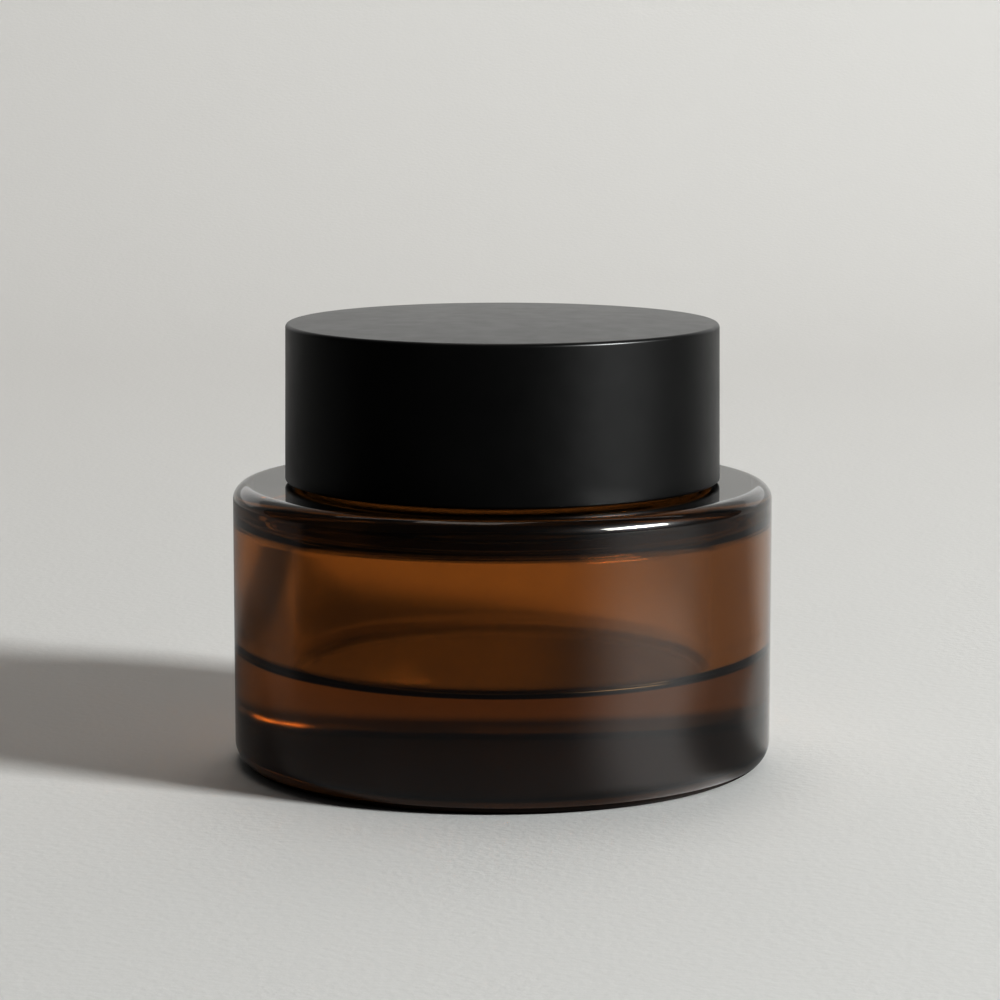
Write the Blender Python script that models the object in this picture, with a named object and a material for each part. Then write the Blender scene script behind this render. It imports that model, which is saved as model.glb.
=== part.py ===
"""Thick-walled amber glass cream jar with a black screw lid.

The origin is the middle of the base and the jar stands on z = 0. Five pieces: the
glass jar, the sealing disc on its rim, the loose liner in the lid, the threaded lid
insert and the outer lid shell. The lid's thread and the jar's thread follow one
helix, so the lid can turn and climb without touching the jar.
"""

import math

import bmesh
import bpy

MM = 0.001

# Jar body
BODY_RADIUS = 31.0 * MM
HEEL_RADIUS = 2.75 * MM
SHOULDER_Z = 32.55 * MM
SHOULDER_EDGE_RADIUS = 1.8 * MM
STANDING_RING_INNER = 26.2 * MM
PUSH_UP_RADIUS = 25.4 * MM
PUSH_UP_HEIGHT = 0.8 * MM

# Hollow inside the jar
CAVITY_RADIUS = 24.2 * MM
CAVITY_FLOOR_Z = 12.0 * MM
CAVITY_CEILING_Z = 28.4 * MM
CAVITY_FLOOR_FILLET = 1.6 * MM
CAVITY_TOP_FILLET = 1.8 * MM
MOUTH_FILLET = 1.6 * MM

# Neck and its thread
BORE_RADIUS = 18.0 * MM
NECK_RADIUS = 20.75 * MM
RIM_Z = 45.1 * MM
RIM_EDGE_RADIUS = 0.7 * MM
NECK_FOOT_FILLET = 1.0 * MM
THREAD_PITCH = 25.4 / 6.0 * MM
THREAD_HEIGHT = 1.0 * MM
THREAD_CREST_WIDTH = 0.9 * MM
THREAD_ROOT_WIDTH = 2.1 * MM
NECK_THREAD_START_Z = 38.0 * MM
NECK_THREAD_TURNS = 1.25
THREAD_FADE_SHARE = 0.12
THREAD_TAIL_DROP = 0.1 * MM
THREAD_BURY = 0.35 * MM

# Clearance left between pieces that touch in use
GAP = 0.3 * MM

# Sealing disc
DISC_FLANGE_RADIUS = 20.6 * MM
DISC_FLANGE_THICKNESS = 0.9 * MM
DISC_WALL = 0.8 * MM
DISC_DISH_DEPTH = 1.8 * MM
TAB_LENGTH = 11.0 * MM
TAB_WIDTH = 9.0 * MM
TAB_THICKNESS = 0.8 * MM
TAB_CLEARANCE = 0.5 * MM
TAB_BAR_INSET = 0.75 * MM
TAB_BAR_THICKNESS = 1.1 * MM
TAB_BAR_SHORTER = 1.0 * MM
TAB_ARC_STEPS = 12
DISC_EDGE = 0.3 * MM
DISC_INNER_CORNER = 0.5 * MM
DISC_OUTER_CORNER = 0.4 * MM

# Liner
LINER_RADIUS = 21.6 * MM
LINER_THICKNESS = 1.0 * MM
LINER_EDGE = 0.25 * MM

# Lid insert
INSERT_BOTTOM_Z = 34.0 * MM
INSERT_BORE_RADIUS = 22.05 * MM
INSERT_OUTER_RADIUS = 22.9 * MM
INSERT_TOP_THICKNESS = 1.2 * MM
INSERT_THREAD_HEIGHT = 0.95 * MM
INSERT_THREAD_DROP = 1.65 * MM
LINER_BEAD_HEIGHT = 0.7 * MM
LINER_BEAD_WIDTH = 0.6 * MM
LINER_BEAD_RAMP = 0.5 * MM
LINER_BEAD_CHAMFER = 0.15 * MM
INSERT_EDGE = 0.4 * MM
INSERT_FOOT_CHAMFER = 0.2 * MM
INSERT_MOUTH_WIDTH = 0.3 * MM
INSERT_MOUTH_HEIGHT = 0.6 * MM

# Lid shell
SHELL_BOTTOM_Z = 32.9 * MM
SHELL_BOTTOM_RADIUS = 25.0 * MM
SHELL_TOP_RADIUS = 24.85 * MM
SHELL_EDGE_Z = 50.95 * MM
SHELL_EDGE_RADIUS = 0.45 * MM
SHELL_CROWN = 0.6 * MM
SHELL_INNER_RADIUS = 23.85 * MM
SHELL_INNER_TOP_Z = 49.4 * MM
SHELL_INNER_CORNER = 0.7 * MM
SHELL_FOOT_RADIUS = 0.3 * MM
SHELL_MOUTH_WIDTH = 0.4 * MM
SHELL_MOUTH_HEIGHT = 0.6 * MM
CROWN_STEPS = 6

# Interlocking ribs between the shell and the insert
RIB_COUNT = 20
RIB_WIDTH = 1.5 * MM
RIB_BOTTOM_Z = 36.0 * MM
RIB_TOP_Z = 47.0 * MM
INSERT_RIB_RADIUS = 23.5 * MM
SHELL_RIB_RADIUS = 23.2 * MM
RIB_BURY = 0.4 * MM

# Flats around each round piece
ROUND_STEPS = 72
SMALL_STEPS = 60
SMOOTH_ANGLE = math.radians(35.0)

# Heights that follow from the sizes above
DISC_FLANGE_Z = RIM_Z + GAP
DISC_TOP_Z = DISC_FLANGE_Z + DISC_FLANGE_THICKNESS
LINER_Z = DISC_TOP_Z + GAP
INSERT_TOP_INNER_Z = LINER_Z + LINER_THICKNESS + GAP
INSERT_TOP_Z = INSERT_TOP_INNER_Z + INSERT_TOP_THICKNESS


def clear_objects():
    for item in list(bpy.data.objects):
        bpy.data.objects.remove(item, do_unlink=True)


def make_material(name, colour, roughness):
    material = bpy.data.materials.new(name)
    material.use_nodes = True
    shader = material.node_tree.nodes["Principled BSDF"]
    shader.inputs["Base Color"].default_value = (*colour, 1.0)
    shader.inputs["Roughness"].default_value = roughness
    shader.inputs["Metallic"].default_value = 0.0
    material.diffuse_color = (*colour, 1.0)
    return material


def link_object(name, mesh):
    item = bpy.data.objects.new(name, mesh)
    bpy.context.scene.collection.objects.link(item)
    return item


def arc(centre_r, centre_z, radius, start, end, segments):
    """Points of a round corner in the radius-height plane, angles in degrees."""
    points = []
    for i in range(segments + 1):
        angle = math.radians(start + (end - start) * i / segments)
        points.append((centre_r + radius * math.cos(angle), centre_z + radius * math.sin(angle)))
    return points


def turned(name, profile, steps, material):
    """A solid of revolution whose profile starts and ends on the axis."""
    mesh = bpy.data.meshes.new(name)
    verts = [(r, 0.0, z) for r, z in profile]
    edges = [(i, i + 1) for i in range(len(profile) - 1)]
    mesh.from_pydata(verts, edges, [])
    mesh.materials.append(material)
    item = link_object(name, mesh)
    screw = item.modifiers.new("Turn", "SCREW")
    screw.axis = "Z"
    screw.angle = math.tau
    screw.steps = steps
    screw.render_steps = steps
    screw.use_merge_vertices = True
    screw.merge_threshold = 0.00001
    screw.use_smooth_shade = True
    return item


def operand(name, mesh):
    """A helper solid that is joined to or cut from another and never shown."""
    item = link_object(name, mesh)
    item.hide_render = True
    item.display_type = "WIRE"
    return item


def combine(target, tool, operation):
    modifier = target.modifiers.new(tool.name, "BOOLEAN")
    modifier.object = tool
    modifier.operation = operation
    modifier.solver = "EXACT"


def settle(item):
    """Turns the modifiers into real faces, smooth where round and sharp at the corners."""
    evaluated = item.evaluated_get(bpy.context.evaluated_depsgraph_get())
    mesh = bpy.data.meshes.new_from_object(evaluated)
    item.modifiers.clear()
    item.data = mesh
    mesh.shade_smooth()
    mesh.set_sharp_from_angle(angle=SMOOTH_ANGLE)


def helical_ridge(name, root, crest, crest_width, root_width, start_z, turns):
    """A thread ridge of trapezium section that fades into its wall at both ends."""
    height = abs(crest - root)
    sign = 1.0 if crest > root else -1.0
    flank = (root_width - crest_width) / 2.0 / height
    foot_half = root_width / 2.0 + flank * THREAD_BURY
    sections = int(round(turns * ROUND_STEPS))
    fade = THREAD_FADE_SHARE * turns
    bm = bmesh.new()
    rings = []
    for i in range(sections + 1):
        along = turns * i / sections
        angle = math.tau * along
        z = start_z + THREAD_PITCH * along
        rise = min(1.0, along / fade, (turns - along) / fade)
        tip = root + sign * (height * rise - THREAD_TAIL_DROP * (1.0 - rise))
        foot = root - sign * THREAD_BURY
        section = (
            (foot, -foot_half),
            (tip, -crest_width / 2.0),
            (tip, crest_width / 2.0),
            (foot, foot_half),
        )
        ring = []
        for r, dz in section:
            ring.append(bm.verts.new((r * math.cos(angle), r * math.sin(angle), z + dz)))
        rings.append(ring)
    for lower, upper in zip(rings, rings[1:]):
        for k in range(4):
            n = (k + 1) % 4
            bm.faces.new((lower[k], lower[n], upper[n], upper[k]))
    bm.faces.new(tuple(reversed(rings[0])))
    bm.faces.new(tuple(rings[-1]))
    bmesh.ops.recalc_face_normals(bm, faces=bm.faces)
    mesh = bpy.data.meshes.new(name)
    bm.to_mesh(mesh)
    bm.free()
    return operand(name, mesh)


def upright_ribs(name, inner, outer, phase):
    """A ring of separate upright bars used as the splines of the lid."""
    bm = bmesh.new()
    half = RIB_WIDTH / 2.0
    for i in range(RIB_COUNT):
        angle = math.tau * (i + phase) / RIB_COUNT
        corners = []
        for z in (RIB_BOTTOM_Z, RIB_TOP_Z):
            for r, side in ((inner, -half), (outer, -half), (outer, half), (inner, half)):
                x = r * math.cos(angle) - side * math.sin(angle)
                y = r * math.sin(angle) + side * math.cos(angle)
                corners.append(bm.verts.new((x, y, z)))
        bm.faces.new((corners[3], corners[2], corners[1], corners[0]))
        bm.faces.new((corners[4], corners[5], corners[6], corners[7]))
        for k in range(4):
            n = (k + 1) % 4
            bm.faces.new((corners[k], corners[n], corners[n + 4], corners[k + 4]))
    bmesh.ops.recalc_face_normals(bm, faces=bm.faces)
    mesh = bpy.data.meshes.new(name)
    bm.to_mesh(mesh)
    bm.free()
    return operand(name, mesh)


def build_jar(material):
    """Heavy base, straight wall, flat shoulder, neck and its outside thread."""
    profile = [(0.0, CAVITY_FLOOR_Z)]
    profile += arc(
        CAVITY_RADIUS - CAVITY_FLOOR_FILLET,
        CAVITY_FLOOR_Z + CAVITY_FLOOR_FILLET,
        CAVITY_FLOOR_FILLET, -90.0, 0.0, 4,
    )
    profile += arc(
        CAVITY_RADIUS - CAVITY_TOP_FILLET,
        CAVITY_CEILING_Z - CAVITY_TOP_FILLET,
        CAVITY_TOP_FILLET, 0.0, 90.0, 4,
    )
    profile += arc(
        BORE_RADIUS + MOUTH_FILLET,
        CAVITY_CEILING_Z + MOUTH_FILLET,
        MOUTH_FILLET, 270.0, 180.0, 3,
    )
    profile += arc(
        BORE_RADIUS + RIM_EDGE_RADIUS, RIM_Z - RIM_EDGE_RADIUS, RIM_EDGE_RADIUS, 180.0, 90.0, 3
    )
    profile += arc(
        NECK_RADIUS - RIM_EDGE_RADIUS, RIM_Z - RIM_EDGE_RADIUS, RIM_EDGE_RADIUS, 90.0, 0.0, 3
    )
    profile += arc(
        NECK_RADIUS + NECK_FOOT_FILLET,
        SHOULDER_Z + NECK_FOOT_FILLET,
        NECK_FOOT_FILLET, 180.0, 270.0, 3,
    )
    profile += arc(
        BODY_RADIUS - SHOULDER_EDGE_RADIUS,
        SHOULDER_Z - SHOULDER_EDGE_RADIUS,
        SHOULDER_EDGE_RADIUS, 90.0, 0.0, 5,
    )
    profile += arc(BODY_RADIUS - HEEL_RADIUS, HEEL_RADIUS, HEEL_RADIUS, 0.0, -90.0, 6)
    profile.append((STANDING_RING_INNER, 0.0))
    profile.append((PUSH_UP_RADIUS, PUSH_UP_HEIGHT))
    profile.append((0.0, PUSH_UP_HEIGHT))
    jar = turned("glass_jar", profile, ROUND_STEPS, material)
    thread = helical_ridge(
        "neck_thread",
        NECK_RADIUS,
        NECK_RADIUS + THREAD_HEIGHT,
        THREAD_CREST_WIDTH,
        THREAD_ROOT_WIDTH,
        NECK_THREAD_START_Z,
        NECK_THREAD_TURNS,
    )
    combine(jar, thread, "UNION")
    return jar


def build_tab():
    """Pull tab of the sealing disc: a rounded tongue held up by a bar at one end."""
    floor_top = DISC_FLANGE_Z - DISC_DISH_DEPTH + DISC_WALL
    tongue_z = floor_top + TAB_CLEARANCE
    half_width = TAB_WIDTH / 2.0
    straight = TAB_LENGTH - half_width
    outline = [(-straight / 2.0, half_width), (-straight / 2.0, -half_width)]
    for i in range(TAB_ARC_STEPS + 1):
        angle = math.radians(-90.0 + 180.0 * i / TAB_ARC_STEPS)
        outline.append(
            (straight / 2.0 + half_width * math.cos(angle), half_width * math.sin(angle))
        )
    bm = bmesh.new()
    lower = [bm.verts.new((x, y, tongue_z)) for x, y in outline]
    upper = [bm.verts.new((x, y, tongue_z + TAB_THICKNESS)) for x, y in outline]
    bm.faces.new(tuple(reversed(lower)))
    bm.faces.new(tuple(upper))
    for k in range(len(outline)):
        n = (k + 1) % len(outline)
        bm.faces.new((lower[k], lower[n], upper[n], upper[k]))
    bmesh.ops.recalc_face_normals(bm, faces=bm.faces)
    mesh = bpy.data.meshes.new("tab_tongue")
    bm.to_mesh(mesh)
    bm.free()
    tongue = operand("tab_tongue", mesh)

    bm = bmesh.new()
    bmesh.ops.create_cube(bm, size=1.0)
    foot = floor_top - DISC_WALL / 2.0
    top = tongue_z + TAB_THICKNESS / 2.0
    for vert in bm.verts:
        vert.co.x = -straight / 2.0 + TAB_BAR_INSET + vert.co.x * TAB_BAR_THICKNESS
        vert.co.y = vert.co.y * (TAB_WIDTH - TAB_BAR_SHORTER)
        vert.co.z = (foot + top) / 2.0 + vert.co.z * (top - foot)
    mesh = bpy.data.meshes.new("tab_bar")
    bm.to_mesh(mesh)
    bm.free()
    bar = operand("tab_bar", mesh)
    return tongue, bar


def build_disc(material):
    """Flange that lies on the rim, shallow dish inside the bore, and the pull tab."""
    dish_outer = BORE_RADIUS - GAP
    dish_inner = dish_outer - DISC_WALL
    dish_z = DISC_FLANGE_Z - DISC_DISH_DEPTH
    edge = DISC_EDGE
    profile = [(0.0, dish_z + DISC_WALL)]
    profile += arc(
        dish_inner - DISC_INNER_CORNER,
        dish_z + DISC_WALL + DISC_INNER_CORNER,
        DISC_INNER_CORNER, -90.0, 0.0, 2,
    )
    profile.append((dish_inner, DISC_TOP_Z - edge))
    profile.append((dish_inner + edge, DISC_TOP_Z))
    profile += arc(DISC_FLANGE_RADIUS - edge, DISC_TOP_Z - edge, edge, 90.0, 0.0, 2)
    profile += arc(DISC_FLANGE_RADIUS - edge, DISC_FLANGE_Z + edge, edge, 0.0, -90.0, 2)
    profile.append((dish_outer, DISC_FLANGE_Z))
    profile += arc(
        dish_outer - DISC_OUTER_CORNER,
        dish_z + DISC_OUTER_CORNER,
        DISC_OUTER_CORNER, 0.0, -90.0, 2,
    )
    profile.append((0.0, dish_z))
    disc = turned("sealing_disc", profile, SMALL_STEPS, material)
    tongue, bar = build_tab()
    combine(disc, bar, "UNION")
    combine(disc, tongue, "UNION")
    return disc


def build_liner(material):
    """Plain foam disc with a slightly rounded edge."""
    edge = LINER_EDGE
    top = LINER_Z + LINER_THICKNESS
    profile = [(0.0, top)]
    profile += arc(LINER_RADIUS - edge, top - edge, edge, 90.0, 0.0, 2)
    profile += arc(LINER_RADIUS - edge, LINER_Z + edge, edge, 0.0, -90.0, 2)
    profile.append((0.0, LINER_Z))
    return turned("lid_liner", profile, SMALL_STEPS, material)


def build_insert(material):
    """Threaded inside cap with the bead that holds the liner and ribs on its outside."""
    bead_top = LINER_Z - GAP
    bead_bottom = bead_top - LINER_BEAD_WIDTH
    bead_radius = INSERT_BORE_RADIUS - LINER_BEAD_HEIGHT
    edge = INSERT_EDGE
    profile = [(0.0, INSERT_TOP_Z)]
    profile += arc(INSERT_OUTER_RADIUS - edge, INSERT_TOP_Z - edge, edge, 90.0, 0.0, 2)
    profile.append((INSERT_OUTER_RADIUS, INSERT_BOTTOM_Z + INSERT_FOOT_CHAMFER))
    profile.append((INSERT_OUTER_RADIUS - INSERT_FOOT_CHAMFER, INSERT_BOTTOM_Z))
    profile.append((INSERT_BORE_RADIUS + INSERT_MOUTH_WIDTH, INSERT_BOTTOM_Z))
    profile.append((INSERT_BORE_RADIUS, INSERT_BOTTOM_Z + INSERT_MOUTH_HEIGHT))
    profile.append((INSERT_BORE_RADIUS, bead_bottom - LINER_BEAD_RAMP))
    profile.append((bead_radius, bead_bottom))
    profile.append((bead_radius, bead_top - LINER_BEAD_CHAMFER))
    profile.append((bead_radius + LINER_BEAD_CHAMFER, bead_top))
    profile.append((INSERT_BORE_RADIUS, bead_top))
    profile.append((INSERT_BORE_RADIUS, INSERT_TOP_INNER_Z))
    profile.append((0.0, INSERT_TOP_INNER_Z))
    insert = turned("lid_insert", profile, ROUND_STEPS, material)
    thread = helical_ridge(
        "insert_thread",
        INSERT_BORE_RADIUS,
        INSERT_BORE_RADIUS - INSERT_THREAD_HEIGHT,
        THREAD_CREST_WIDTH,
        THREAD_ROOT_WIDTH,
        NECK_THREAD_START_Z - INSERT_THREAD_DROP,
        NECK_THREAD_TURNS,
    )
    combine(insert, thread, "UNION")
    ribs = upright_ribs("insert_ribs", INSERT_OUTER_RADIUS - RIB_BURY, INSERT_RIB_RADIUS, 0.0)
    combine(insert, ribs, "UNION")
    return insert


def build_shell(material):
    """Outside of the lid: slightly crowned top, small edge radius, drafted side."""
    crown_edge = SHELL_TOP_RADIUS - SHELL_EDGE_RADIUS
    profile = []
    for i in range(CROWN_STEPS):
        r = crown_edge * i / CROWN_STEPS
        profile.append((r, SHELL_EDGE_Z + SHELL_CROWN * (1.0 - (r / crown_edge) ** 2)))
    profile += arc(crown_edge, SHELL_EDGE_Z - SHELL_EDGE_RADIUS, SHELL_EDGE_RADIUS, 90.0, 0.0, 4)
    profile += arc(
        SHELL_BOTTOM_RADIUS - SHELL_FOOT_RADIUS,
        SHELL_BOTTOM_Z + SHELL_FOOT_RADIUS,
        SHELL_FOOT_RADIUS, 0.0, -90.0, 2,
    )
    profile.append((SHELL_INNER_RADIUS + SHELL_MOUTH_WIDTH, SHELL_BOTTOM_Z))
    profile.append((SHELL_INNER_RADIUS, SHELL_BOTTOM_Z + SHELL_MOUTH_HEIGHT))
    profile.append((SHELL_INNER_RADIUS, SHELL_INNER_TOP_Z - SHELL_INNER_CORNER))
    profile.append((SHELL_INNER_RADIUS - SHELL_INNER_CORNER, SHELL_INNER_TOP_Z))
    profile.append((0.0, SHELL_INNER_TOP_Z))
    shell = turned("lid_shell", profile, ROUND_STEPS, material)
    ribs = upright_ribs("shell_ribs", SHELL_RIB_RADIUS, SHELL_INNER_RADIUS + RIB_BURY, 0.5)
    combine(shell, ribs, "UNION")
    return shell


def main():
    clear_objects()
    amber = make_material("amber_glass", (0.22, 0.075, 0.012), 0.05)
    black = make_material("lid_black", (0.012, 0.012, 0.012), 0.4)
    black_insert = make_material("insert_black", (0.02, 0.02, 0.02), 0.5)
    white = make_material("disc_white", (0.82, 0.82, 0.79), 0.45)
    foam = make_material("liner_foam", (0.88, 0.88, 0.86), 0.85)
    pieces = (
        build_jar(amber),
        build_disc(white),
        build_liner(foam),
        build_insert(black_insert),
        build_shell(black),
    )
    for piece in pieces:
        settle(piece)
    for item in list(bpy.data.objects):
        if item not in pieces:
            bpy.data.objects.remove(item, do_unlink=True)


main()
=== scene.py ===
"""Amber glass cream jar with a satin black lid, on a pale studio floor."""

import math

import bmesh
import bpy
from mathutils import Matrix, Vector


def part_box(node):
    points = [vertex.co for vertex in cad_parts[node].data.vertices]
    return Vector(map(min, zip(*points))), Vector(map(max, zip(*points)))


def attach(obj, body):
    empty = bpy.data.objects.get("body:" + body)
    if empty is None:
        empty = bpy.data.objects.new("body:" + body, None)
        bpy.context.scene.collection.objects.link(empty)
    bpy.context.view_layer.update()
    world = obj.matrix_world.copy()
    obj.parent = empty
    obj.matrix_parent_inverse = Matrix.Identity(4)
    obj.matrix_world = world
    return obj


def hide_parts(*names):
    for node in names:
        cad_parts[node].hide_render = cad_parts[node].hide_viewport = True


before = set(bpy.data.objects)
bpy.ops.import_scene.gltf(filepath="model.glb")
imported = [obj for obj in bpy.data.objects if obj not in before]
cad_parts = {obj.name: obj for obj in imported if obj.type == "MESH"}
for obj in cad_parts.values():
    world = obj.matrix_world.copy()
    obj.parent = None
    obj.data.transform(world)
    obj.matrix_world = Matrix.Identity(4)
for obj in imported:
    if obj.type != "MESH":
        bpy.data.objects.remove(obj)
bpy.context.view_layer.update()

MM = 0.001

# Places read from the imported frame
JAR_LOW, JAR_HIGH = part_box("glass_jar")
DISC_LOW, DISC_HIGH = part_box("sealing_disc")
LINER_LOW, LINER_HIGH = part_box("lid_liner")
INSERT_LOW, INSERT_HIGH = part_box("lid_insert")
SHELL_LOW, SHELL_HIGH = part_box("lid_shell")

BODY_RADIUS = JAR_HIGH[0]
RIM_Z = JAR_HIGH[2]
DISC_RADIUS = DISC_HIGH[0]
LINER_RADIUS = LINER_HIGH[0]
INSERT_RIB_RADIUS = INSERT_HIGH[0]
SHELL_RADIUS = SHELL_HIGH[0]

# Glass jar
HEEL_RADIUS = 2.75 * MM
HEEL_PAINT_ANGLE = 42.0
SHOULDER_Z = 32.55 * MM
SHOULDER_EDGE_RADIUS = 1.8 * MM
STANDING_RING_INNER = 26.2 * MM
PUSH_UP_RADIUS = 25.4 * MM
PUSH_UP_HEIGHT = 0.8 * MM
CAVITY_RADIUS = 24.2 * MM
CAVITY_FLOOR_Z = 12.0 * MM
CAVITY_CEILING_Z = 28.4 * MM
CAVITY_FLOOR_FILLET = 1.6 * MM
CAVITY_TOP_FILLET = 1.8 * MM
MOUTH_FILLET = 1.6 * MM
BORE_RADIUS = 18.0 * MM
NECK_RADIUS = 20.75 * MM
RIM_EDGE_RADIUS = 0.7 * MM
NECK_FOOT_FILLET = 1.0 * MM

# Thread, shared by the neck and the insert
THREAD_PITCH = 25.4 / 6.0 * MM
THREAD_TURNS = 1.25
THREAD_START_Z = 38.0 * MM
THREAD_CREST_WIDTH = 0.7 * MM
THREAD_ROOT_WIDTH = 2.1 * MM
THREAD_FADE_TURNS = 0.12
NECK_THREAD_HEIGHT = 1.0 * MM
INSERT_THREAD_HEIGHT = 0.95 * MM
INSERT_THREAD_DROP = 1.65 * MM
THREAD_ROW = 0.2 * MM

# Sealing disc
DISH_WALL = 0.8 * MM
DISH_OUTER = BORE_RADIUS - 0.3 * MM
FLANGE_Z = DISC_HIGH[2] - 0.9 * MM
TAB_LENGTH = 11.0 * MM
TAB_WIDTH = 9.0 * MM
TAB_THICKNESS = 0.8 * MM
TAB_CLEARANCE = 0.5 * MM
TAB_ARC_STEPS = 32
TAB_EDGE = 0.2 * MM
TAB_EDGE_ANGLE = math.radians(60.0)
TAB_BAR_INSET = 0.75 * MM
TAB_BAR_THICKNESS = 1.1 * MM
TAB_BAR_SHORTER = 1.0 * MM
DISC_EDGE = 0.3 * MM
DISC_INNER_CORNER = 0.5 * MM
DISC_OUTER_CORNER = 0.4 * MM

# Lid
INSERT_BORE = 22.05 * MM
INSERT_WALL_OUTER = 22.9 * MM
INSERT_TOP = 1.2 * MM
LINER_BEAD_HEIGHT = 0.7 * MM
LINER_BEAD_WIDTH = 0.6 * MM
LINER_BEAD_GAP = 0.3 * MM
LINER_BEAD_RAMP = 0.5 * MM
LINER_BEAD_CHAMFER = 0.15 * MM
LINER_EDGE = 0.25 * MM
INSERT_EDGE = 0.4 * MM
INSERT_FOOT_CHAMFER = 0.2 * MM
INSERT_MOUTH_WIDTH = 0.3 * MM
INSERT_MOUTH_HEIGHT = 0.6 * MM
SHELL_TOP_RADIUS = 24.85 * MM
SHELL_EDGE_Z = 50.95 * MM
SHELL_EDGE_RADIUS = 0.45 * MM
SHELL_INNER = 23.85 * MM
SHELL_INNER_TOP_Z = 49.4 * MM
SHELL_INNER_CORNER = 0.7 * MM
SHELL_FOOT_RADIUS = 0.3 * MM
SHELL_MOUTH_WIDTH = 0.4 * MM
SHELL_MOUTH_HEIGHT = 0.6 * MM
SHELL_RIB_RADIUS = 23.2 * MM
RIB_COUNT = 20
RIB_WIDTH = 1.5 * MM
RIB_BOTTOM_Z = 36.0 * MM
RIB_TOP_Z = 47.0 * MM
RIB_END = 0.05 * MM
CROWN_STEPS = 24
CROWN_END_ANGLE = 87.0

# Mesh
STEPS = 288
ARC_STEP = math.radians(6.0)
SUPPORT = 0.12 * MM
LONG_RUN = 8.0 * SUPPORT
SMOOTH_ANGLE = math.radians(32.0)
WELD = 1e-7
ON_WALL = 1e-6
CLEAR_SLOT, LACQUER_SLOT, UNDERSIDE_SLOT = range(3)


# Shapes

def arc(centre_r, centre_z, radius, start, end):
    """A round corner of a turned outline, angles in degrees."""
    a = math.radians(start)
    b = math.radians(end)
    count = max(2, math.ceil(abs(b - a) / ARC_STEP))
    points = []
    for i in range(count + 1):
        t = a + (b - a) * i / count
        points.append((centre_r + radius * math.cos(t), centre_z + radius * math.sin(t)))
    return points


def supported(points):
    """Adds a point close to each end of every long straight run, so flats shade flat."""
    out = [points[0]]
    for (r0, z0), (r1, z1) in zip(points, points[1:]):
        length = math.hypot(r1 - r0, z1 - z0)
        if length > LONG_RUN:
            for share in (SUPPORT / length, 1.0 - SUPPORT / length):
                out.append((r0 + (r1 - r0) * share, z0 + (z1 - z0) * share))
        out.append((r1, z1))
    return out


def rows(r, z_from, z_to, step):
    """Evenly spaced points up or down a straight wall, its two ends left out."""
    count = max(1, round(abs(z_to - z_from) / step))
    return [(r, z_from + (z_to - z_from) * i / count) for i in range(1, count)]


def turned(name, parts, relief=None):
    """A solid of revolution. Each part is an outline and the slot number of its faces."""
    profile = []
    slots = []
    for points, slot in parts:
        for point in points:
            if profile and math.dist(point, profile[-1]) < WELD:
                continue
            if profile:
                slots.append(slot)
            profile.append(point)
    bm = bmesh.new()
    rings = []
    for r, z in profile:
        if r < WELD:
            rings.append([bm.verts.new((0.0, 0.0, z))])
            continue
        ring = []
        for i in range(STEPS):
            angle = math.tau * i / STEPS
            radius = r + (relief(r, z, angle) if relief else 0.0)
            ring.append(bm.verts.new((radius * math.cos(angle), radius * math.sin(angle), z)))
        rings.append(ring)
    for upper, lower, slot in zip(rings, rings[1:], slots):
        for i in range(STEPS):
            n = (i + 1) % STEPS
            if len(upper) == 1:
                face = bm.faces.new((upper[0], lower[i], lower[n]))
            elif len(lower) == 1:
                face = bm.faces.new((upper[n], upper[i], lower[0]))
            else:
                face = bm.faces.new((upper[i], lower[i], lower[n], upper[n]))
            face.material_index = slot
    bmesh.ops.recalc_face_normals(bm, faces=bm.faces)
    item = mesh_object(name, bm)
    item.data.shade_smooth()
    item.data.set_sharp_from_angle(angle=SMOOTH_ANGLE)
    return item


def smooth(x):
    x = min(1.0, max(0.0, x))
    return x * x * (3.0 - 2.0 * x)


def thread_relief(z, angle, start_z):
    """Share of full thread height at a place on a threaded wall, from 0 to 1."""
    best = 0.0
    for turn in range(math.ceil(THREAD_TURNS)):
        along = angle / math.tau + turn
        if along > THREAD_TURNS:
            continue
        off = abs(z - start_z - THREAD_PITCH * along)
        flank = (THREAD_ROOT_WIDTH - THREAD_CREST_WIDTH) / 2.0
        across = smooth((THREAD_ROOT_WIDTH / 2.0 - off) / flank)
        fade = smooth(min(along, THREAD_TURNS - along) / THREAD_FADE_TURNS)
        best = max(best, across * fade)
    return best


def rib_relief(z, angle, phase):
    """1 on an upright rib of the lid's spline and 0 between the ribs."""
    if not RIB_BOTTOM_Z <= z <= RIB_TOP_Z:
        return 0.0
    step = math.tau / RIB_COUNT
    off = abs((angle / step - phase + 0.5) % 1.0 - 0.5) * step * INSERT_WALL_OUTER
    return 1.0 if off <= RIB_WIDTH / 2.0 else 0.0


def jar_relief(r, z, angle):
    on_neck = abs(r - NECK_RADIUS) < ON_WALL
    return NECK_THREAD_HEIGHT * thread_relief(z, angle, THREAD_START_Z) if on_neck else 0.0


def insert_relief(r, z, angle):
    if abs(r - INSERT_BORE) < ON_WALL:
        start = THREAD_START_Z - INSERT_THREAD_DROP
        return -INSERT_THREAD_HEIGHT * thread_relief(z, angle, start)
    if abs(r - INSERT_WALL_OUTER) < ON_WALL:
        return (INSERT_RIB_RADIUS - INSERT_WALL_OUTER) * rib_relief(z, angle, 0.0)
    return 0.0


def shell_relief(r, z, angle):
    if abs(r - SHELL_INNER) < ON_WALL:
        return (SHELL_RIB_RADIUS - SHELL_INNER) * rib_relief(z, angle, 0.5)
    return 0.0


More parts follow.
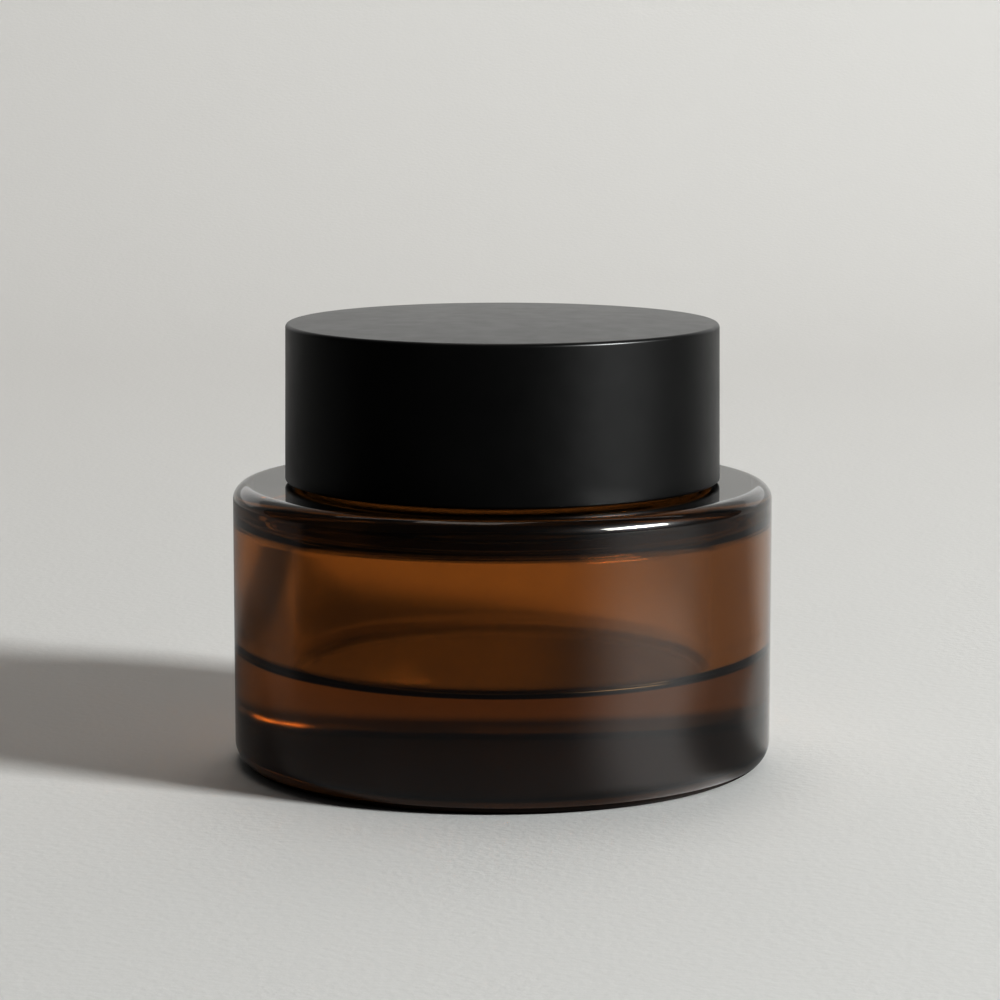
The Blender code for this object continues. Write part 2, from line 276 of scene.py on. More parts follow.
def make_jar():
    inside = [(0.0, CAVITY_FLOOR_Z)]
    inside += arc(
        CAVITY_RADIUS - CAVITY_FLOOR_FILLET, CAVITY_FLOOR_Z + CAVITY_FLOOR_FILLET,
        CAVITY_FLOOR_FILLET, -90.0, 0.0,
    )
    inside += arc(
        CAVITY_RADIUS - CAVITY_TOP_FILLET, CAVITY_CEILING_Z - CAVITY_TOP_FILLET,
        CAVITY_TOP_FILLET, 0.0, 90.0,
    )
    inside += arc(
        BORE_RADIUS + MOUTH_FILLET, CAVITY_CEILING_Z + MOUTH_FILLET, MOUTH_FILLET, 270.0, 180.0
    )
    inside += arc(
        BORE_RADIUS + RIM_EDGE_RADIUS, RIM_Z - RIM_EDGE_RADIUS, RIM_EDGE_RADIUS, 180.0, 90.0
    )
    inside = supported(inside)
    neck_top = RIM_Z - RIM_EDGE_RADIUS
    neck_foot = SHOULDER_Z + NECK_FOOT_FILLET
    outside = [(BORE_RADIUS + RIM_EDGE_RADIUS, RIM_Z)]
    outside += arc(NECK_RADIUS - RIM_EDGE_RADIUS, neck_top, RIM_EDGE_RADIUS, 90.0, 0.0)
    outside += rows(NECK_RADIUS, neck_top, neck_foot, THREAD_ROW)
    wall = arc(
        NECK_RADIUS + NECK_FOOT_FILLET, neck_foot, NECK_FOOT_FILLET, 180.0, 270.0
    )
    wall += arc(
        BODY_RADIUS - SHOULDER_EDGE_RADIUS, SHOULDER_Z - SHOULDER_EDGE_RADIUS,
        SHOULDER_EDGE_RADIUS, 90.0, 0.0,
    )
    heel_r = BODY_RADIUS - HEEL_RADIUS
    wall += arc(heel_r, HEEL_RADIUS, HEEL_RADIUS, 0.0, -HEEL_PAINT_ANGLE)
    outside += supported(wall)
    under = arc(heel_r, HEEL_RADIUS, HEEL_RADIUS, -HEEL_PAINT_ANGLE, -90.0)
    under += supported([
        (heel_r, JAR_LOW[2]),
        (STANDING_RING_INNER, JAR_LOW[2]),
        (PUSH_UP_RADIUS, PUSH_UP_HEIGHT),
        (0.0, PUSH_UP_HEIGHT),
    ])
    jar = turned(
        "jar_body",
        [(inside, CLEAR_SLOT), (outside, LACQUER_SLOT), (under, UNDERSIDE_SLOT)],
        jar_relief,
    )
    mark_lacquer(jar.data)
    return jar


def mark_lacquer(mesh):
    """Stores 1 on the lacquered outside faces, and leaves one slot for all clear glass."""
    lacquer = mesh.attributes.new("lacquer", "FLOAT", "FACE")
    for face in mesh.polygons:
        lacquer.data[face.index].value = 1.0 if face.material_index == LACQUER_SLOT else 0.0
        face.material_index = 1 if face.material_index == UNDERSIDE_SLOT else 0


def make_tab():
    """Rounded pull tongue of the sealing disc and the bar that holds it up."""
    floor_top = DISC_LOW[2] + DISH_WALL
    tongue_z = floor_top + TAB_CLEARANCE
    half = TAB_WIDTH / 2.0
    straight = TAB_LENGTH - half
    outline = [(-straight / 2.0, half), (-straight / 2.0, -half)]
    for i in range(TAB_ARC_STEPS + 1):
        t = math.radians(-90.0 + 180.0 * i / TAB_ARC_STEPS)
        outline.append((straight / 2.0 + half * math.cos(t), half * math.sin(t)))
    bm = bmesh.new()
    face = bm.faces.new([bm.verts.new((x, y, tongue_z)) for x, y in outline])
    grown = bmesh.ops.extrude_face_region(bm, geom=[face])
    raised = [v for v in grown["geom"] if isinstance(v, bmesh.types.BMVert)]
    bmesh.ops.translate(bm, verts=raised, vec=(0.0, 0.0, TAB_THICKNESS))
    bmesh.ops.recalc_face_normals(bm, faces=bm.faces)
    edges = [e for e in bm.edges if e.calc_face_angle(0.0) > TAB_EDGE_ANGLE]
    bmesh.ops.bevel(bm, geom=edges, offset=TAB_EDGE, segments=3, affect="EDGES", profile=0.5)
    tongue = mesh_object("tab_tongue", bm)
    bm = bmesh.new()
    bmesh.ops.create_cube(bm, size=1.0)
    foot = floor_top - DISH_WALL / 2.0
    top = tongue_z + TAB_THICKNESS / 2.0
    for vert in bm.verts:
        vert.co.x = -straight / 2.0 + TAB_BAR_INSET + vert.co.x * TAB_BAR_THICKNESS
        vert.co.y = vert.co.y * (TAB_WIDTH - TAB_BAR_SHORTER)
        vert.co.z = (foot + top) / 2.0 + vert.co.z * (top - foot)
    return tongue, mesh_object("tab_bar", bm)


def mesh_object(name, bm):
    mesh = bpy.data.meshes.new(name)
    bm.to_mesh(mesh)
    bm.free()
    item = bpy.data.objects.new(name, mesh)
    bpy.context.scene.collection.objects.link(item)
    return item


def join_solids(target, tools):
    """Boolean union, applied, with the helper solids removed afterwards."""
    for tool in tools:
        modifier = target.modifiers.new(tool.name, "BOOLEAN")
        modifier.object = tool
        modifier.operation = "UNION"
        modifier.solver = "EXACT"
    evaluated = target.evaluated_get(bpy.context.evaluated_depsgraph_get())
    mesh = bpy.data.meshes.new_from_object(evaluated)
    target.modifiers.clear()
    target.data = mesh
    mesh.shade_smooth()
    mesh.set_sharp_from_angle(angle=SMOOTH_ANGLE)
    for tool in tools:
        bpy.data.objects.remove(tool, do_unlink=True)


def make_disc():
    inner = DISH_OUTER - DISH_WALL
    low = DISC_LOW[2]
    top = DISC_HIGH[2]
    outline = [(0.0, low + DISH_WALL)]
    outline += arc(
        inner - DISC_INNER_CORNER, low + DISH_WALL + DISC_INNER_CORNER, DISC_INNER_CORNER,
        -90.0, 0.0,
    )
    outline += arc(inner + DISC_EDGE, top - DISC_EDGE, DISC_EDGE, 180.0, 90.0)
    outline += arc(DISC_RADIUS - DISC_EDGE, top - DISC_EDGE, DISC_EDGE, 90.0, 0.0)
    outline += arc(DISC_RADIUS - DISC_EDGE, FLANGE_Z + DISC_EDGE, DISC_EDGE, 0.0, -90.0)
    outline.append((DISH_OUTER, FLANGE_Z))
    outline += arc(
        DISH_OUTER - DISC_OUTER_CORNER, low + DISC_OUTER_CORNER, DISC_OUTER_CORNER, 0.0, -90.0
    )
    outline.append((0.0, low))
    disc = turned("seal_disc", [(supported(outline), 0)])
    join_solids(disc, make_tab())
    return disc


def make_liner():
    low = LINER_LOW[2]
    top = LINER_HIGH[2]
    outline = [(0.0, top)]
    outline += arc(LINER_RADIUS - LINER_EDGE, top - LINER_EDGE, LINER_EDGE, 90.0, 0.0)
    outline += arc(LINER_RADIUS - LINER_EDGE, low + LINER_EDGE, LINER_EDGE, 0.0, -90.0)
    outline.append((0.0, low))
    return turned("foam_liner", [(supported(outline), 0)])


def make_insert():
    low = INSERT_LOW[2]
    top = INSERT_HIGH[2]
    thread_low = low + INSERT_MOUTH_HEIGHT
    bead = INSERT_BORE - LINER_BEAD_HEIGHT
    bead_top = LINER_LOW[2] - LINER_BEAD_GAP
    bead_bottom = bead_top - LINER_BEAD_WIDTH
    ramp_low = bead_bottom - LINER_BEAD_RAMP
    outline = [(0.0, top)]
    outline += arc(INSERT_WALL_OUTER - INSERT_EDGE, top - INSERT_EDGE, INSERT_EDGE, 90.0, 0.0)
    for z in (RIB_TOP_Z + RIB_END, RIB_TOP_Z, RIB_BOTTOM_Z, RIB_BOTTOM_Z - RIB_END):
        outline.append((INSERT_WALL_OUTER, z))
    outline.append((INSERT_WALL_OUTER, low + INSERT_FOOT_CHAMFER))
    outline.append((INSERT_WALL_OUTER - INSERT_FOOT_CHAMFER, low))
    outline.append((INSERT_BORE + INSERT_MOUTH_WIDTH, low))
    outline.append((INSERT_BORE, thread_low))
    outline += rows(INSERT_BORE, thread_low, ramp_low, THREAD_ROW)
    outline.append((INSERT_BORE, ramp_low))
    outline.append((bead, bead_bottom))
    outline.append((bead, bead_top - LINER_BEAD_CHAMFER))
    outline.append((bead + LINER_BEAD_CHAMFER, bead_top))
    outline.append((INSERT_BORE, bead_top))
    outline.append((INSERT_BORE, top - INSERT_TOP))
    outline.append((0.0, top - INSERT_TOP))
    return turned("lid_inner_cap", [(outline, 0)], insert_relief)


def make_shell():
    crown_edge = SHELL_TOP_RADIUS - SHELL_EDGE_RADIUS
    crown = SHELL_HIGH[2] - SHELL_EDGE_Z
    low = SHELL_LOW[2]
    outline = []
    for i in range(CROWN_STEPS):
        r = crown_edge * i / CROWN_STEPS
        outline.append((r, SHELL_EDGE_Z + crown * (1.0 - (r / crown_edge) ** 2)))
    outline += arc(
        crown_edge, SHELL_EDGE_Z - SHELL_EDGE_RADIUS, SHELL_EDGE_RADIUS, CROWN_END_ANGLE, 0.0
    )
    outline += arc(
        SHELL_RADIUS - SHELL_FOOT_RADIUS, low + SHELL_FOOT_RADIUS, SHELL_FOOT_RADIUS, 0.0, -90.0
    )
    outline.append((SHELL_INNER + SHELL_MOUTH_WIDTH, low))
    outline.append((SHELL_INNER, low + SHELL_MOUTH_HEIGHT))
    for z in (RIB_BOTTOM_Z - RIB_END, RIB_BOTTOM_Z, RIB_TOP_Z, RIB_TOP_Z + RIB_END):
        outline.append((SHELL_INNER, z))
    outline.append((SHELL_INNER, SHELL_INNER_TOP_Z - SHELL_INNER_CORNER))
    outline.append((SHELL_INNER - SHELL_INNER_CORNER, SHELL_INNER_TOP_Z))
    outline.append((0.0, SHELL_INNER_TOP_Z))
    return turned("lid_outer_cap", [(supported(outline), 0)], shell_relief)


# Materials

class Look:
    """A material, its Principled shader and short ways to add nodes to it."""

    def __init__(self, name, colour, roughness):
        self.material = bpy.data.materials.new(name)
        self.material.use_nodes = True
        self.tree = self.material.node_tree
        self.shader = self.tree.nodes["Principled BSDF"]
        self.output = self.tree.nodes["Material Output"]
        self.set("Base Color", (*colour, 1.0))
        self.set("Roughness", roughness)
        self.place = self.node("ShaderNodeTexCoord").outputs["Object"]

    def set(self, socket, value):
        self.shader.inputs[socket].default_value = value

    def node(self, kind, **inputs):
        node = self.tree.nodes.new(kind)
        for key, value in inputs.items():
            node.inputs[key.replace("_", " ")].default_value = value
        return node

    def link(self, source, target):
        self.tree.links.new(source, target)

    def noise(self, size, detail=2.0, stretch=(1.0, 1.0, 1.0)):
        """Noise whose features are about `size` metres across."""
        mapping = self.node("ShaderNodeMapping")
        mapping.inputs["Scale"].default_value = stretch
        self.link(self.place, mapping.inputs["Vector"])
        noise = self.node("ShaderNodeTexNoise", Scale=1.0 / size, Detail=detail)
        self.link(mapping.outputs["Vector"], noise.inputs["Vector"])
        return noise.outputs["Fac"]

    def remap(self, value, low, high):
        node = self.node("ShaderNodeMapRange")
        node.inputs["From Min"].default_value = 0.3
        node.inputs["From Max"].default_value = 0.7
        node.inputs["To Min"].default_value = low
        node.inputs["To Max"].default_value = high
        self.link(value, node.inputs["Value"])
        return node.outputs["Result"]

    def maths(self, operation, first, second=0.0):
        """One Math node, each input a number or another node's output."""
        node = self.node("ShaderNodeMath")
        node.operation = operation
        for socket, value in zip(node.inputs, (first, second)):
            if isinstance(value, float):
                socket.default_value = value
            else:
                self.link(value, socket)
        return node.outputs["Value"]

    def product(self, first, *others):
        """The product of numbers and nodes' outputs."""
        for other in others:
            first = self.maths("MULTIPLY", first, other)
        return first

    def fade(self, value, start, end):
        """0 up to `start`, 1 from `end` on, and smooth in between."""
        node = self.node("ShaderNodeMapRange")
        node.interpolation_type = "SMOOTHSTEP"
        node.inputs["From Min"].default_value = start
        node.inputs["From Max"].default_value = end
        self.link(value, node.inputs["Value"])
        return node.outputs["Result"]

    def vary_roughness(self, value, low, high):
        self.link(self.remap(value, low, high), self.shader.inputs["Roughness"])

    def mix(self, factor, first, second):
        """Blends two colours, each a colour or another node's output."""
        node = self.node("ShaderNodeMix")
        node.data_type = "RGBA"
        self.link(factor, node.inputs["Factor"])
        for socket, colour in ((node.inputs[6], first), (node.inputs[7], second)):
            if isinstance(colour, tuple):
                socket.default_value = (*colour, 1.0)
            else:
                self.link(colour, socket)
        return node.outputs[2]

    def vary_colour(self, value, dark, light):
        colour = self.mix(self.remap(value, 0.0, 1.0), dark, light)
        self.link(colour, self.shader.inputs["Base Color"])

    def bump(self, value, depth, before=None):
        """Adds relief of about `depth` metres and returns its normal."""
        bump = self.node("ShaderNodeBump", Strength=1.0, Distance=depth)
        self.link(value, bump.inputs["Height"])
        if before:
            self.link(before, bump.inputs["Normal"])
        self.link(bump.outputs["Normal"], self.shader.inputs["Normal"])
        return bump.outputs["Normal"]


def scaled(colour, share):
    return tuple(c * share for c in colour)


AMBER_COAT = (0.44, 0.172, 0.032)
CLEAR_GLASS = (0.97, 0.96, 0.94)
GLASS_IOR = 1.5
GLASS_TINT = (0.80, 0.66, 0.50)
GLASS_DENSITY = 22.0
GLASS_ROUGHNESS = (0.055, 0.095)
LACQUER_CLOUD = (0.93, 1.06)
COAT_IOR = 1.5
COAT_ROUGHNESS = 0.32
COAT_WEIGHT = 0.4
COAT_TOP = (SHOULDER_Z, SHOULDER_Z - 0.8 * MM)
# Painted shade: the lacquer is made darker from the shoulder up, which darkens the band under the
# lid.
SHOULDER_BAND_Z = (29.3 * MM, 31.0 * MM)
SHOULDER_SHADE_SHARE = 0.35
SHOULDER_SMOOTHER = 0.4
# The lacquer turns almost black towards the foot.
HEEL_DARK_Z = (3.2 * MM, 2.0 * MM)
HEEL_DARK_SHARE = 0.02


def amber_glass():
    """Thick pressed glass, clear inside, under a transparent amber lacquer outside."""
    look = Look("amber_glass", AMBER_COAT, 0.02)
    look.set("Transmission Weight", 1.0)
    look.set("IOR", GLASS_IOR)
    absorb = look.node("ShaderNodeVolumeAbsorption", Density=GLASS_DENSITY)
    absorb.inputs["Color"].default_value = (*GLASS_TINT, 1.0)
    look.link(absorb.outputs["Volume"], look.output.inputs["Volume"])

    cloud = look.remap(look.noise(14.0 * MM, 3.0), 0.0, 1.0)
    lacquer = look.mix(cloud, *(scaled(AMBER_COAT, share) for share in LACQUER_CLOUD))
    axes = look.node("ShaderNodeSeparateXYZ")
    look.link(look.place, axes.inputs["Vector"])
    # The lacquer turns almost black towards the foot.
    heel_dark = look.fade(axes.outputs["Z"], *HEEL_DARK_Z)
    lacquer = look.mix(heel_dark, lacquer, scaled(AMBER_COAT, HEEL_DARK_SHARE))
    # Painted shade: the lacquer is made darker from the shoulder up, which darkens the band under the
    # lid.
    shoulder_band = look.fade(axes.outputs["Z"], *SHOULDER_BAND_Z)
    lacquer = look.mix(shoulder_band, lacquer, scaled(AMBER_COAT, SHOULDER_SHADE_SHARE))
    mask = look.node("ShaderNodeAttribute")
    mask.attribute_name = "lacquer"
    colour = look.mix(mask.outputs["Fac"], CLEAR_GLASS, lacquer)
    look.link(colour, look.shader.inputs["Base Color"])

    look.set("Coat IOR", COAT_IOR)
    look.set("Coat Roughness", COAT_ROUGHNESS)
    below = look.fade(axes.outputs["Z"], *COAT_TOP)
    coat = look.product(mask.outputs["Fac"], below, COAT_WEIGHT)
    look.link(coat, look.shader.inputs["Coat Weight"])

    sheen = look.remap(look.noise(5.0 * MM, 4.0), *GLASS_ROUGHNESS)
    smoother = look.maths("SUBTRACT", 1.0, look.product(shoulder_band, SHOULDER_SMOOTHER))
    look.link(look.product(sheen, smoother), look.shader.inputs["Roughness"])
    waves = look.bump(look.noise(12.0 * MM, 1.0), 0.006 * MM)
    look.bump(look.noise(0.5 * MM, 2.0), 0.0002 * MM, waves)
    return look.material


def glass_underside():
    """Stippled underside, almost black."""
    look = Look("glass_underside", (0.012, 0.006, 0.003), 0.6)
    look.set("Specular IOR Level", 0.05)
    stipple = look.noise(0.6 * MM, 2.0)
    look.vary_colour(stipple, (0.008, 0.004, 0.002), (0.018, 0.008, 0.004))
    look.bump(stipple, 0.05 * MM)
    return look.material


def lid_plastic():
    """Moulded black plastic with a fine satin texture."""
    look = Look("lid_satin_black", (0.006, 0.006, 0.006), 0.36)
    look.set("Specular IOR Level", 0.36)
    cloud = look.noise(6.0 * MM, 4.0)
    look.vary_colour(cloud, (0.0028, 0.0028, 0.0028), (0.0045, 0.0044, 0.0042))
    grain = look.noise(0.16 * MM, 3.0)
    look.vary_roughness(look.noise(2.5 * MM, 3.0), 0.34, 0.37)
    look.bump(grain, 0.0018 * MM)
    return look.material


def insert_plastic():
    look = Look("insert_black", (0.012, 0.012, 0.012), 0.45)
    look.vary_colour(look.noise(4.0 * MM, 3.0), (0.010, 0.010, 0.010), (0.016, 0.016, 0.015))
    look.vary_roughness(look.noise(1.2 * MM, 3.0), 0.40, 0.52)
    look.bump(look.noise(0.3 * MM, 2.0), 0.004 * MM)
    return look.material


def disc_plastic():
    """Milky polypropylene, faintly see-through at its thin edges."""
    look = Look("disc_polypropylene", (0.80, 0.80, 0.77), 0.4)
    look.set("Subsurface Weight", 0.35)
    look.set("Subsurface Radius", (1.0, 0.95, 0.85))
    look.set("Subsurface Scale", 1.2 * MM)
    look.vary_colour(look.noise(5.0 * MM, 3.0), (0.77, 0.77, 0.74), (0.83, 0.83, 0.80))
    look.vary_roughness(look.noise(1.5 * MM, 3.0), 0.34, 0.46)
    look.bump(look.noise(0.25 * MM, 2.0), 0.003 * MM)
    return look.material


def liner_foam():
    """Fine closed-cell foam."""
    look = Look("liner_foam", (0.86, 0.86, 0.84), 0.9)
    cells = look.node("ShaderNodeTexVoronoi", Scale=1.0 / (0.35 * MM))
    look.link(look.place, cells.inputs["Vector"])
    look.vary_colour(look.noise(3.0 * MM, 3.0), (0.83, 0.83, 0.81), (0.89, 0.89, 0.87))
    look.bump(cells.outputs["Distance"], 0.05 * MM)
    return look.material


# Studio

FLOOR_COLOUR = (0.66, 0.646, 0.63)
# The colour of the floor's painted shadow and painted dark reflections.
FLOOR_PAINTED_SHADE = (0.02, 0.02, 0.02)
SWEEP_WIDTH = 3.0
SWEEP_FRONT = -1.2
SWEEP_BACK = 0.42
SWEEP_RADIUS = 0.55
SWEEP_TOP = 1.6
SWEEP_STEPS = 18

# Lamps, sizes in metres, angles in degrees
WHITE = (1.0, 1.0, 1.0)
COOL_WHITE = (0.95, 0.99, 1.0)
WARM_WHITE = (1.0, 0.95, 0.90)
JAR_MIDDLE = (0.0, 0.0, 20.0 * MM)
KEY_AZIMUTH = 29.3
KEY_ELEVATION = 25.3
KEY_DISTANCE = 1.5
KEY_SIZE = (0.27, 0.18)
KEY_WATTS = 35.0
KEY_GLOW_DISTANCE = 1.45
KEY_GLOW_SIZE = (0.75, 0.32)
KEY_GLOW_WATTS = 22.0
KEY_GLOW_COLOUR = (1.0, 0.985, 0.96)
OVERHEAD_PLACE = (0.08, 0.68, 1.1)
OVERHEAD_TARGET = (-0.02, 0.72, 0.0)
OVERHEAD_SIZE = (1.6, 0.4)
OVERHEAD_WATTS = 4.7
BACK_WASH_PLACE = (0.1, 0.35, 1.0)
BACK_WASH_TARGET = (0.1, 1.2, 0.2)
BACK_WASH_SIZE = (1.6, 0.3)
BACK_WASH_COLOUR = (0.97, 0.99, 1.0)
BACK_WASH_WATTS = 2.4
BACK_PANEL_PLACE = (0.0, 0.62, 0.24)
BACK_PANEL_TARGET = (0.0, 0.0, 0.05)
BACK_PANEL_SIZE = (1.4, 0.22)
BACK_PANEL_WATTS = 0.52
WORLD_FILL = 0.045
WORLD_SEEN = 0.7

# Camera
CAMERA_PLACE = (-0.00028, -0.4225, 0.0916)
CAMERA_TILT = 0.144
CAMERA_SENSOR = 36.0
CAMERA_LENS = 133.2
CAMERA_CLIP = 0.01
VIEW_GAMMA = 0.72

# The floor as the glass shows it, with painted shadow, painted dark reflections and a painted gleam.
# Each pair says where a shade starts and where it is full.
# Azimuths go round from +X towards the camera. The fan turns them near the foot of the jar,
# where a mirrored ray has not yet gone far from the wall that sent it.
# Painted shadow: the floor darkens where it is seen through the glass.
CONTACT_EDGE = (90.0 * MM, 68.0 * MM)
CONTACT_LEFT = (16.0 * MM, 2.0 * MM)
CONTACT_DARK = 0.5
CONTACT_DARKER = 0.09
CAST_SLANT = 0.3
CAST_BACK = (124.0 * MM, 94.0 * MM)
CAST_START = (55.0 * MM, 80.0 * MM)
CAST_RIGHT = (36.0 * MM, -10.0 * MM)
CAST_DARK = 0.86
RIGHT_EDGE = (0.0, 90.0 * MM)
RIGHT_DARK = 0.5
FAN_REACH = (110.0 * MM, 40.0 * MM)
FAN_TURN = math.radians(28.3)
FAN_SPREAD = 0.35
# Painted dark reflections: the floor darkens where the glass mirrors it.
MIRROR_SHADE_Y = (400.0 * MM, 200.0 * MM)
FRONT_MIRROR_SHADE_AZIMUTH = (math.radians(38.0), math.radians(66.0))
FRONT_MIRROR_SHADE_Y = (20.0 * MM, -20.0 * MM)
FRONT_MIRROR_SHADE_REACH = (0.0, 120.0 * MM)
SIDE_MIRROR_SHADE_FRONT = (math.radians(14.0), math.radians(-4.0))
SIDE_MIRROR_SHADE_BACK = (math.radians(-42.0), math.radians(-24.0))
SIDE_MIRROR_SHADE_X = (0.0, 30.0 * MM)
SIDE_MIRROR_SHADE_DARK = 0.6
LEFT_MIRROR_SHADE_X = (0.0, -50.0 * MM)
LEFT_MIRROR_SHADE_DARK = 0.6
# Painted gleam: the floor glows where the glass mirrors it, though no lamp is there.
GLEAM_BACK = (math.radians(6.0), math.radians(22.0))
GLEAM_FRONT = (math.radians(70.0), math.radians(36.0))
GLEAM_REACH = (190.0 * MM, 130.0 * MM)
GLEAM_STRENGTH = 0.9


def floor_seen_through(look, x, y, reach):
    """Painted shadow: how far the floor darkens where it is seen through the glass."""
    contact = look.product(
        look.fade(reach, *CONTACT_EDGE),
        look.maths("ADD", CONTACT_DARK, look.product(look.fade(x, *CONTACT_LEFT), CONTACT_DARKER)),
    )
    slant = look.maths("ADD", y, look.product(x, CAST_SLANT))
    cast = look.product(
        look.fade(slant, *CAST_BACK), look.fade(y, *CAST_START), look.fade(x, *CAST_RIGHT), CAST_DARK,
    )
    right = look.product(look.fade(x, *RIGHT_EDGE), RIGHT_DARK)
    return look.maths("MAXIMUM", look.maths("MAXIMUM", contact, cast), right)


def floor_mirror_shade(look, x, y, reach, azimuth):
    """Painted dark reflection: how far the floor darkens where the glass reflects it, as black flags
    would do, though there are none.
    """
    front = look.product(
        look.fade(azimuth, *FRONT_MIRROR_SHADE_AZIMUTH), look.fade(y, *FRONT_MIRROR_SHADE_Y),
        look.fade(reach, *FRONT_MIRROR_SHADE_REACH),
    )
    side = look.product(
        look.fade(azimuth, *SIDE_MIRROR_SHADE_FRONT), look.fade(azimuth, *SIDE_MIRROR_SHADE_BACK),
        look.fade(x, *SIDE_MIRROR_SHADE_X), look.fade(y, *MIRROR_SHADE_Y), SIDE_MIRROR_SHADE_DARK,
    )
    left = look.product(look.fade(x, *LEFT_MIRROR_SHADE_X), look.fade(y, *MIRROR_SHADE_Y), LEFT_MIRROR_SHADE_DARK)
    return look.maths("MAXIMUM", look.maths("MAXIMUM", front, side), left)


def floor_look():
    """Pale paper, plain to the camera. The glass shows it darker, with painted shadow and painted
    dark reflections, and with a painted gleam in place of the key's reflection.
    """
    look = Look("studio_paper", FLOOR_COLOUR, 0.85)
    look.set("Specular IOR Level", 0.2)
    rays = look.node("ShaderNodeLightPath")
    mirrored = look.product(rays.outputs["Is Reflection Ray"], rays.outputs["Is Glossy Ray"])
    axes = look.node("ShaderNodeSeparateXYZ")
    look.link(look.place, axes.inputs["Vector"])
    x = axes.outputs["X"]
    y = axes.outputs["Y"]
    reach = look.maths("SQRT", look.maths("ADD", look.product(x, x), look.product(y, y)))
    azimuth = look.maths("ARCTAN2", look.product(y, -1.0), x)
    fan = look.maths("SUBTRACT", FAN_TURN, look.product(azimuth, FAN_SPREAD))
    azimuth = look.maths("SUBTRACT", azimuth, look.product(look.fade(reach, *FAN_REACH), fan))

    # Painted shadow, seen only through the glass.
    through = look.product(floor_seen_through(look, x, y, reach), rays.outputs["Is Transmission Ray"])
    # Painted dark reflection, seen only where the glass mirrors the floor.
    mirror_shade = look.product(floor_mirror_shade(look, x, y, reach, azimuth), mirrored)
    # Painted shadow and painted dark reflection, both in the floor's colour.
    colour = look.mix(look.maths("MAXIMUM", through, mirror_shade), FLOOR_COLOUR, FLOOR_PAINTED_SHADE)
    look.link(colour, look.shader.inputs["Base Color"])

    # Painted gleam: the floor glows where the glass mirrors it, though no lamp is there.
    gleam = look.product(
        look.fade(azimuth, *GLEAM_BACK), look.fade(azimuth, *GLEAM_FRONT),
        look.fade(reach, *GLEAM_REACH), mirrored, GLEAM_STRENGTH,
    )
    look.set("Emission Color", (1.0, 1.0, 1.0, 1.0))
    look.link(gleam, look.shader.inputs["Emission Strength"])
    look.material.cycles.emission_sampling = "NONE"
    look.bump(look.noise(1.1 * MM, 6.0), 0.05 * MM)
    return look.material


def make_sweep():
    outline = [(SWEEP_FRONT, 0.0), (SWEEP_BACK, 0.0)]
    for i in range(1, SWEEP_STEPS + 1):
        t = math.radians(90.0 * i / SWEEP_STEPS)
        outline.append((
            SWEEP_BACK + SWEEP_RADIUS * math.sin(t),
            SWEEP_RADIUS - SWEEP_RADIUS * math.cos(t),
        ))
    outline.append((SWEEP_BACK + SWEEP_RADIUS, SWEEP_TOP))
    bm = bmesh.new()
    pairs = []
    for y, z in outline:
        pairs.append([bm.verts.new((side * SWEEP_WIDTH / 2.0, y, z)) for side in (-1, 1)])
    for a, b in zip(pairs, pairs[1:]):
        bm.faces.new((a[0], a[1], b[1], b[0]))
    sweep = mesh_object("studio_sweep", bm)
    sweep.data.shade_smooth()
    sweep.data.materials.append(floor_look())
    return sweep


def from_polar(azimuth, elevation, distance):
    """A place around the jar: azimuth from +X towards the camera, in degrees."""
    a = math.radians(azimuth)
    e = math.radians(elevation)
    return Vector((
        distance * math.cos(e) * math.cos(a),
        -distance * math.cos(e) * math.sin(a),
        distance * math.sin(e),
    ))


def area_light(name, place, target, size, watts, colour):
    """A rectangular lamp at one place, facing another. Size is its width and height."""
    data = bpy.data.lights.new(name, "AREA")
    data.shape = "RECTANGLE"
    data.size, data.size_y = size
    data.energy = watts
    data.color = colour
    lamp = bpy.data.objects.new(name, data)
    lamp.location = place
    lamp.rotation_euler = (Vector(target) - Vector(place)).to_track_quat("-Z", "Y").to_euler()
    bpy.context.scene.collection.objects.link(lamp)
    return lamp


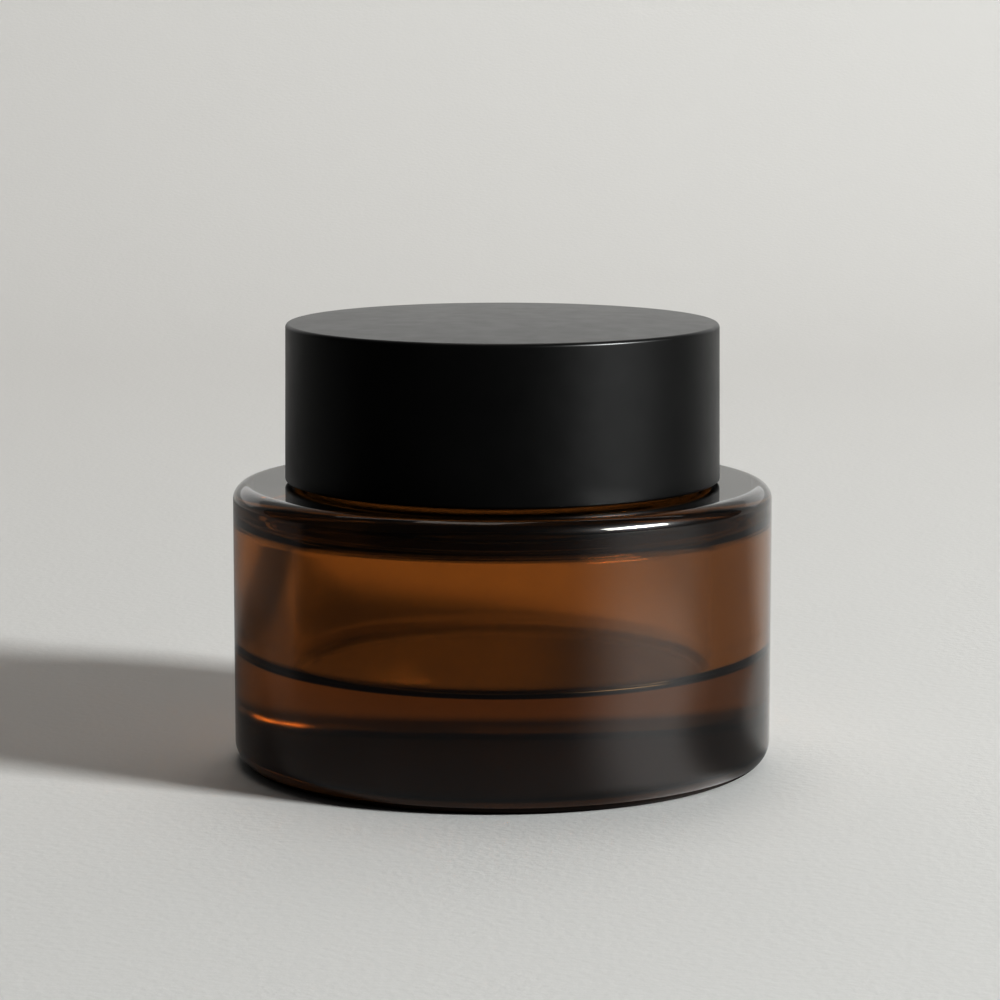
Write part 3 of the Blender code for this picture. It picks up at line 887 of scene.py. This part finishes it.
def make_lights():
    key = area_light(
        "key", from_polar(KEY_AZIMUTH, KEY_ELEVATION, KEY_DISTANCE), JAR_MIDDLE, KEY_SIZE,
        KEY_WATTS, COOL_WHITE,
    )
    key.visible_transmission = False
    area_light(
        "overhead", OVERHEAD_PLACE, OVERHEAD_TARGET, OVERHEAD_SIZE, OVERHEAD_WATTS, WARM_WHITE
    )
    area_light(
        "back_wash", BACK_WASH_PLACE, BACK_WASH_TARGET, BACK_WASH_SIZE, BACK_WASH_WATTS,
        BACK_WASH_COLOUR,
    )
    glow = area_light(
        "key_glow", from_polar(KEY_AZIMUTH, KEY_ELEVATION, KEY_GLOW_DISTANCE), JAR_MIDDLE,
        KEY_GLOW_SIZE, KEY_GLOW_WATTS, KEY_GLOW_COLOUR,
    )
    glow.visible_camera = False
    glow.visible_diffuse = False
    panel = area_light(
        "back_panel", BACK_PANEL_PLACE, BACK_PANEL_TARGET, BACK_PANEL_SIZE, BACK_PANEL_WATTS, WHITE
    )
    panel.visible_camera = False
    panel.visible_diffuse = False
    panel.visible_transmission = False


def make_world():
    """Faint fill on everything, and a paler backdrop where the camera sees past the sweep."""
    world = bpy.data.worlds.new("studio")
    world.use_nodes = True
    nodes = world.node_tree.nodes
    links = world.node_tree.links
    background = nodes["Background"]
    background.inputs["Color"].default_value = (*WHITE, 1.0)
    rays = nodes.new("ShaderNodeLightPath")
    strength = nodes.new("ShaderNodeMapRange")
    strength.inputs["To Min"].default_value = WORLD_FILL
    strength.inputs["To Max"].default_value = WORLD_SEEN
    links.new(rays.outputs["Is Camera Ray"], strength.inputs["Value"])
    links.new(strength.outputs["Result"], background.inputs["Strength"])
    bpy.context.scene.world = world


def make_camera():
    data = bpy.data.cameras.new("camera")
    data.sensor_width = CAMERA_SENSOR
    data.lens = CAMERA_LENS
    data.clip_start = CAMERA_CLIP
    camera = bpy.data.objects.new("camera", data)
    camera.location = CAMERA_PLACE
    camera.rotation_euler = (math.pi / 2.0 - CAMERA_TILT, 0.0, 0.0)
    bpy.context.scene.collection.objects.link(camera)
    bpy.context.scene.camera = camera


def render_depth():
    """Enough bounces for light to cross the thick glass, and a view with strong contrast."""
    cycles = bpy.context.scene.cycles
    cycles.max_bounces = 24
    cycles.transmission_bounces = 20
    cycles.glossy_bounces = 10
    cycles.diffuse_bounces = 4
    cycles.caustics_reflective = True
    cycles.caustics_refractive = True
    cycles.blur_glossy = 0.3
    view = bpy.context.scene.view_settings
    view.view_transform = "Standard"
    view.gamma = VIEW_GAMMA


def place(piece, body, node, slot, *materials):
    for material in materials:
        piece.data.materials.append(material)
    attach(piece, body)
    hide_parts(node)


place(make_jar(), "jar", "glass_jar", "amber_glass",
      amber_glass(), glass_underside())
place(make_disc(), "disc", "sealing_disc", "disc_plastic", disc_plastic())
place(make_liner(), "liner", "lid_liner", "liner_foam", liner_foam())
place(make_insert(), "lid", "lid_insert", "insert_plastic", insert_plastic())
place(make_shell(), "lid", "lid_shell", "lid_black", lid_plastic())
make_sweep()
make_lights()
make_world()
make_camera()
render_depth()
